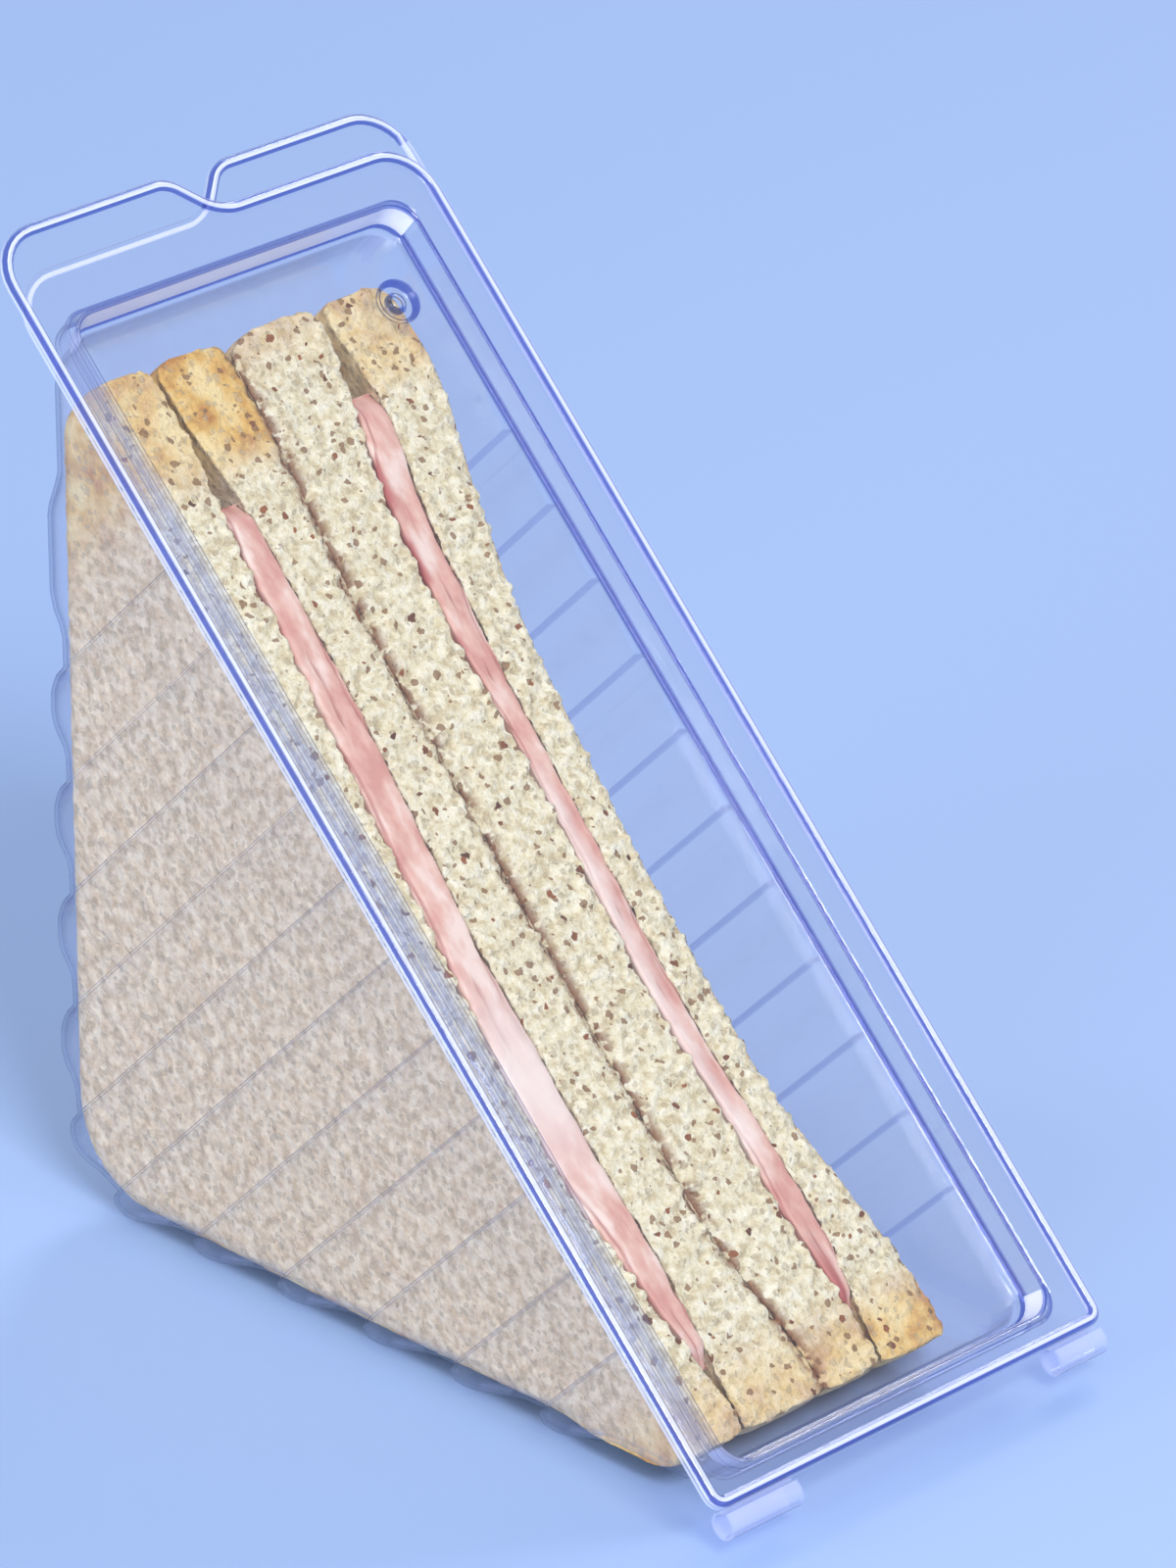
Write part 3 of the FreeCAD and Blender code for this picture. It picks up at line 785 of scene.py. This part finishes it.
CUT_DEPTH = 9.5
CRUMB_GRAIN, HAM_GRAIN = 0.55, 0.6
TIP_GOLD = {
    "bread_slice_1": (152, 164, 0.75), "bread_slice_2": (154, 162, 1.0),
    "bread_slice_3": (164, 178, 0.45), "bread_slice_4": (157, 165, 0.6),
}
HEEL_GOLD = {"bread_slice_1": 0.5, "bread_slice_2": 0.55, "bread_slice_3": 0.65, "bread_slice_4": 0.9}
slices = []
for node, (gold_low, gold_high, gold) in TIP_GOLD.items():
    piece, share, v, depth = soften(node, CRUMB_GRAIN)
    crumb = ramp(CUT_DEPTH + 1.0 - depth, 0, 0.8)
    from_floor = (v + FLOOR_DEPTH - depth) * math.sqrt(0.5)
    from_back = (BACK_DEPTH - v - depth) * math.sqrt(0.5)
    crust = 0.8 * (1 - ramp(np.minimum(from_floor, from_back), 0.8, 2.0))
    crust = np.maximum(crust, gold * ramp(v, gold_low, gold_high))
    crust = np.maximum(crust, HEEL_GOLD[node] * ramp(-v, -22, -13))
    keep_share(piece, "crust", crust)
    keep_share(piece, "cut", crumb)
    left, right = sides_of(node, v)
    from_left, from_right = share * (right - left), (1 - share) * (right - left)
    edge = np.exp(-(np.minimum(from_left, from_right) / 0.8) ** 2)
    inner = {"bread_slice_2": from_right, "bread_slice_3": from_left}.get(node)
    # Near the inner sides of slices 2 and 3 a share is kept for the painted shade in the gap between the
    # sandwiches.
    seam_shade = np.zeros(len(v)) if inner is None else np.exp(-(inner / 0.95) ** 2)
    keep_share(piece, "seam_shade", seam_shade * crumb)
    places = window_places(piece)
    outer, beside_ham = from_left, from_right
    if node in ("bread_slice_2", "bread_slice_4"):
        outer, beside_ham = beside_ham, outer
    joined = 1 - 0.9 * ramp(FOOT_END - v, 0, 6)
    sink = np.where(beside_ham < 2, 0.08, 0.35) * joined + 0.55 * (outer < 2)
    places[:, 2] -= sink * edge * crumb
    set_window_places(piece, places)
    torn = group_of(piece, "torn", np.clip(0.2 + 0.8 * crumb - 0.5 * crust, 0.1, 1))
    roughen(piece, "CLOUDS", 2.0, 1.7, torn, 3)
    roughen(piece, "VORONOI", 1.7, -0.9, torn)
    bpy.ops.object.shade_smooth()
    slices.append(piece)
    print(piece.name, len(piece.data.polygons), "faces")

# %% [markdown]
# Ham is folded thin slices, so it lies as flat as the bread's cut face but looks layered. It is
# made as the bread is, from its own solid, with a shallow groove along the fold and tapered ends.
# The material paints shade along the fold's groove, and reads where the dark red edge and the pale patches
# are.

# %% Ham
hams = []
for node, foot, top in (("ham_left", 19.0, 153.0), ("ham_right", 17.0, 161.0)):
    piece, share, v, depth = soften(node, HAM_GRAIN)
    places = window_places(piece)
    v = foot + (v - v.min()) * (top - foot) / (v.max() - v.min())
    places[:, 1] = v
    left, right = sides_of(node, places[:, 1])
    places[:, 0] = left + share * (right - left) - HALF
    cut = ramp(CUT_DEPTH + 1.2 - depth, 0, 0.8)
    layers = np.abs(np.mod(share * 2 + 0.2 * np.sin(v / 9.0) + 0.12 * np.sin(v / 3.7) + 0.5, 1) - 0.5) * 2
    across = np.minimum(share, 1 - share)
    places[:, 2] -= cut * (0.3 * (1 - ramp(layers, 0.0, 0.25)) + 0.12 * (1 - ramp(across, 0, 0.12)) - 0.1)
    places[:, 2] -= cut * 1.6 * (1 - ramp(np.minimum(v - foot, top - v), 0, 3.5))
    set_window_places(piece, places)
    keep_share(piece, "layers", layers)
    broken = np.clip(0.5 + np.sin(v / 2.1) + 0.6 * np.sin(v / 5.3), 0, 1)
    if node == "ham_right":
        red_line = 0.9 * np.exp(-((share - 0.62) / 0.12) ** 2) * ramp(v, 46, 52) * ramp(-v, -104, -96)
        red_edge = ramp(0.22 - share, 0, 0.2) * ramp(v, 118, 124)
        red_foot = ramp(34 - v, 0, 14) * ramp(0.75 - share, 0, 0.3)
        rind = np.maximum(np.maximum(red_line, red_edge) * broken, red_foot)
        pale = 0.6 * (1 - ramp(share, 0.3, 0.6)) * ramp(v, 36, 46) * ramp(-v, -110, -95)
    else:
        rind = 0.2 * ramp(34 - v, 0, 14)
        pale = 0.85 * np.exp(-((v - 64) / 13) ** 2)
    keep_share(piece, "rind", rind)
    keep_share(piece, "pale", pale)
    keep_share(piece, "cut", cut)
    edge = group_of(piece, "edge", np.clip(0.3 + 0.7 * cut, 0, 1))
    roughen(piece, "CLOUDS", 5, 0.8, edge, 2)
    bpy.ops.object.shade_smooth()
    hams.append(piece)
    print(piece.name, len(piece.data.polygons), "faces")

# %% [markdown]
# ## Bread and ham
# Wholemeal bread is pale crumb with pores, painted darker as shade in their hollows, and dark flecks of
# bran, and its crust is a golden skin.
# Ham is pink with paler and darker streaks that run along the slices. Both need the same thing, a colour
# that drifts between three tones and a matching unevenness, so one node group gives it to both. The flecks
# are small round spots, each of its own size and tone, which a Voronoi texture scatters through the bread.

# %% Mottle group
def group_socket(tree, name, kind, way, value=None):
    """Adds a named input or output to a node group."""
    made = tree.interface.new_socket(name=name, in_out=way, socket_type=kind)
    if value is not None:
        made.default_value = value


def mottle_group():
    """Three tones that drift into each other, and the pattern they follow as a height."""
    tree = bpy.data.node_groups.new("mottle", "ShaderNodeTree")
    group_socket(tree, "Vector", "NodeSocketVector", "INPUT")
    group_socket(tree, "Scale", "NodeSocketFloat", "INPUT", 400.0)
    for tone in ("Dark", "Middle", "Light"):
        group_socket(tree, tone, "NodeSocketColor", "INPUT", (0.5, 0.5, 0.5, 1))
    group_socket(tree, "Color", "NodeSocketColor", "OUTPUT")
    group_socket(tree, "Height", "NodeSocketFloat", "OUTPUT")
    nodes, links = tree.nodes, tree.links
    into, out = nodes.new("NodeGroupInput"), nodes.new("NodeGroupOutput")
    drift = nodes.new("ShaderNodeTexNoise")
    drift.inputs["Detail"].default_value = 3
    drift.inputs["Roughness"].default_value = 0.6
    links.new(into.outputs["Vector"], drift.inputs["Vector"])
    links.new(into.outputs["Scale"], drift.inputs["Scale"])
    for step, (low, high) in enumerate(((0.36, 0.5), (0.5, 0.64))):
        share = nodes.new("ShaderNodeMapRange")
        share.inputs["From Min"].default_value = low
        share.inputs["From Max"].default_value = high
        links.new(drift.outputs["Fac"], share.inputs["Value"])
        blend = nodes.new("ShaderNodeMix")
        blend.data_type = "RGBA"
        links.new(share.outputs["Result"], blend.inputs["Factor"])
        links.new(into.outputs["Dark"] if step == 0 else mixed, blend.inputs["A"])
        links.new(into.outputs["Middle" if step == 0 else "Light"], blend.inputs["B"])
        mixed = blend.outputs["Result"]
    links.new(mixed, out.inputs["Color"])
    links.new(drift.outputs["Fac"], out.inputs["Height"])
    return tree


mottle = mottle_group()


def mottled(nodes, links, vector, scale, dark, middle, light):
    """The mottle group, placed in a material with its own scale and tones."""
    made = nodes.new("ShaderNodeGroup")
    made.node_tree = mottle
    made.inputs["Scale"].default_value = scale
    for name, tone in (("Dark", dark), ("Middle", middle), ("Light", light)):
        made.inputs[name].default_value = (*tone, 1)
    links.new(vector, made.inputs["Vector"])
    return made


def blend_colours(nodes, links, factor, first, second):
    """A Mix node, where each input is a colour or another node's output."""
    made = nodes.new("ShaderNodeMix")
    made.data_type = "RGBA"
    for name, given in (("Factor", factor), ("A", first), ("B", second)):
        if isinstance(given, tuple):
            made.inputs[name].default_value = (*given, 1)
        else:
            links.new(given, made.inputs[name])
    return made.outputs["Result"]


def share_of(nodes, name):
    """Reads an attribute that keep_share made."""
    made = nodes.new("ShaderNodeAttribute")
    made.attribute_name = name
    return made.outputs["Fac"]


def step_between(nodes, links, value, low, high):
    """A soft step from 0 at low to 1 at high, as a node."""
    made = nodes.new("ShaderNodeMapRange")
    made.interpolation_type = "SMOOTHSTEP"
    made.inputs["From Min"].default_value = low
    made.inputs["From Max"].default_value = high
    links.new(value, made.inputs["Value"])
    return made.outputs["Result"]


# %% [markdown]
# The bread's colour is built in layers: the cut crumb over the flat side, the golden crust where the
# slice was baked, then pores painted darker as shade, bran, and a dark dashed chain along the seam
# between the two sandwiches, which is painted shade in the gap there. The flecks' places are shifted
# by a fine noise first, because plain Voronoi spots are too round.

# %% Bread
def bran(nodes, links, vector, scale, largest):
    """Scattered flecks: a mask, and a random share for each fleck."""
    cells = nodes.new("ShaderNodeTexVoronoi")
    cells.inputs["Scale"].default_value = scale
    links.new(vector, cells.inputs["Vector"])
    parts = nodes.new("ShaderNodeSeparateColor")
    links.new(cells.outputs["Color"], parts.inputs[0])
    reach = value_math(nodes, links, "MULTIPLY", parts.outputs[0], largest)
    inside = value_math(nodes, links, "SUBTRACT", reach, cells.outputs["Distance"])
    return step_between(nodes, links, inside, 0.0, 0.04), parts.outputs[1]


def bread_material():
    """Wholemeal bread, which reads where the knife went, where the crust is and where the seam's painted
    shade runs.
    """
    made, nodes, links = paint("bread")
    here = nodes.new("ShaderNodeTexCoord").outputs["Object"]
    wobble = nodes.new("ShaderNodeTexNoise")
    wobble.inputs["Scale"].default_value = 900
    links.new(here, wobble.inputs["Vector"])
    shift = nodes.new("ShaderNodeVectorMath")
    shift.operation = "MULTIPLY_ADD"
    shift.inputs[1].default_value = (0.0012, 0.0012, 0.0012)
    links.new(wobble.outputs["Color"], shift.inputs[0])
    links.new(here, shift.inputs[2])
    uneven = shift.outputs[0]
    cut, crust, seam_shade = (share_of(nodes, name) for name in ("cut", "crust", "seam_shade"))

    crumb = mottled(nodes, links, here, 640, (0.62, 0.52, 0.30), (0.79, 0.71, 0.47), (0.88, 0.83, 0.62))
    flat = mottled(nodes, links, here, 520, (0.57, 0.42, 0.24), (0.73, 0.57, 0.36), (0.83, 0.69, 0.47))
    colour = blend_colours(nodes, links, cut, flat.outputs["Color"], crumb.outputs["Color"])
    gold = mottled(nodes, links, here, 170, (0.47, 0.19, 0.035), (0.72, 0.44, 0.11), (0.85, 0.66, 0.30))
    colour = blend_colours(nodes, links, crust, colour, gold.outputs["Color"])
    pores, _ = bran(nodes, links, uneven, 780, 0.46)
    # Pores are painted darker: painted shade in the crumb's small hollows.
    pore_painted_shade = value_math(nodes, links, "MULTIPLY", pores, 0.55)
    colour = blend_colours(nodes, links, pore_painted_shade, colour, (0.46, 0.37, 0.22))
    small, _ = bran(nodes, links, uneven, 520, 0.36)
    fresh = value_math(nodes, links, "ADD", value_math(nodes, links, "MULTIPLY", cut, 0.65), 0.35)
    small = value_math(nodes, links, "MULTIPLY", small, value_math(nodes, links, "MULTIPLY", fresh, 0.85))
    colour = blend_colours(nodes, links, small, colour, (0.24, 0.12, 0.04))
    large, tone = bran(nodes, links, uneven, 310, 0.24)
    dark = blend_colours(nodes, links, tone, (0.10, 0.03, 0.008), (0.33, 0.11, 0.03))
    colour = blend_colours(nodes, links, value_math(nodes, links, "MULTIPLY", large, fresh), colour, dark)
    # Dark dashes along the seam: painted shade in the gap between the two sandwiches.
    dashes = nodes.new("ShaderNodeTexNoise")
    dashes.inputs["Scale"].default_value = 420
    links.new(here, dashes.inputs["Vector"])
    painted_seam_shade = step_between(nodes, links, dashes.outputs["Fac"], 0.42, 0.5)
    painted_seam_shade = value_math(nodes, links, "MULTIPLY", painted_seam_shade, seam_shade)
    colour = blend_colours(nodes, links, painted_seam_shade, colour, (0.22, 0.075, 0.018))

    surface = nodes.new("ShaderNodeBsdfPrincipled")
    surface.inputs["Roughness"].default_value = 0.88
    links.new(colour, surface.inputs["Base Color"])
    grain = nodes.new("ShaderNodeTexNoise")
    grain.inputs["Scale"].default_value = 1100
    grain.inputs["Detail"].default_value = 3
    links.new(here, grain.inputs["Vector"])
    height = value_math(nodes, links, "ADD", grain.outputs["Fac"], crumb.outputs["Height"])
    height = value_math(nodes, links, "SUBTRACT", height, value_math(nodes, links, "MULTIPLY", pores, 0.5))
    height = value_math(nodes, links, "MULTIPLY", height, fresh)
    relief = nodes.new("ShaderNodeBump")
    relief.inputs["Strength"].default_value = 0.7
    relief.inputs["Distance"].default_value = 0.0009
    links.new(height, relief.inputs["Height"])
    links.new(relief.outputs[0], surface.inputs["Normal"])
    links.new(surface.outputs[0], nodes.new("ShaderNodeOutputMaterial").inputs["Surface"])
    return made


# %% [markdown]
# The ham's mottle is stretched along the slices by a Mapping node, as the meat's grain is. The
# painted shade along the fold, the red edge and the pale patches come over it.

# %% Ham material
def ham_material():
    """Folded ham, with painted shade along its folds, which reads where its red edge and its pale patches
    are.
    """
    made, nodes, links = paint("ham")
    here = nodes.new("ShaderNodeTexCoord").outputs["Object"]
    along = nodes.new("ShaderNodeMapping")
    along.inputs["Rotation"].default_value = (-SLOPE, 0, 0)
    along.inputs["Scale"].default_value = (1.0, 0.22, 0.6)
    links.new(here, along.inputs["Vector"])
    meat = mottled(
        nodes, links, along.outputs[0], 260, (0.64, 0.30, 0.23), (0.74, 0.44, 0.34), (0.84, 0.65, 0.54)
    )
    layers = share_of(nodes, "layers")
    # Dark red where the layers meet, along the fold and the edges: painted shade in the crease.
    fold_shade = value_math(nodes, links, "SUBTRACT", 1.0, step_between(nodes, links, layers, 0.03, 0.30))
    fold_shade = value_math(nodes, links, "MULTIPLY", fold_shade, 0.7)
    colour = blend_colours(nodes, links, fold_shade, meat.outputs["Color"], (0.40, 0.11, 0.09))
    colour = blend_colours(nodes, links, share_of(nodes, "pale"), colour, (0.83, 0.70, 0.62))
    colour = blend_colours(nodes, links, share_of(nodes, "rind"), colour, (0.42, 0.10, 0.085))
    surface = nodes.new("ShaderNodeBsdfPrincipled")
    surface.inputs["Roughness"].default_value = 0.55
    links.new(colour, surface.inputs["Base Color"])
    relief = nodes.new("ShaderNodeBump")
    relief.inputs["Strength"].default_value = 0.35
    relief.inputs["Distance"].default_value = 0.0008
    links.new(meat.outputs["Height"], relief.inputs["Height"])
    links.new(relief.outputs[0], surface.inputs["Normal"])
    links.new(surface.outputs[0], nodes.new("ShaderNodeOutputMaterial").inputs["Surface"])
    return made


bread_paint, ham_paint = bread_material(), ham_material()
for piece in slices + hams:
    node = piece.name.removesuffix("_soft")
    piece.data.materials.clear()
    piece.data.materials.append(bread_paint if piece in slices else ham_paint)
    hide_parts(node)
    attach(piece, "base")
print("filling:", [piece.name for piece in slices + hams])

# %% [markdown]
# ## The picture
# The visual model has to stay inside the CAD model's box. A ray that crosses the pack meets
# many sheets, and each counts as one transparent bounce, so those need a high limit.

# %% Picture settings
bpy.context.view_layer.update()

bpy.context.scene.view_settings.view_transform = "Standard"
studio = bpy.context.scene.cycles
studio.max_bounces = 6
studio.diffuse_bounces = 2
studio.glossy_bounces = 3
studio.transparent_max_bounces = 20
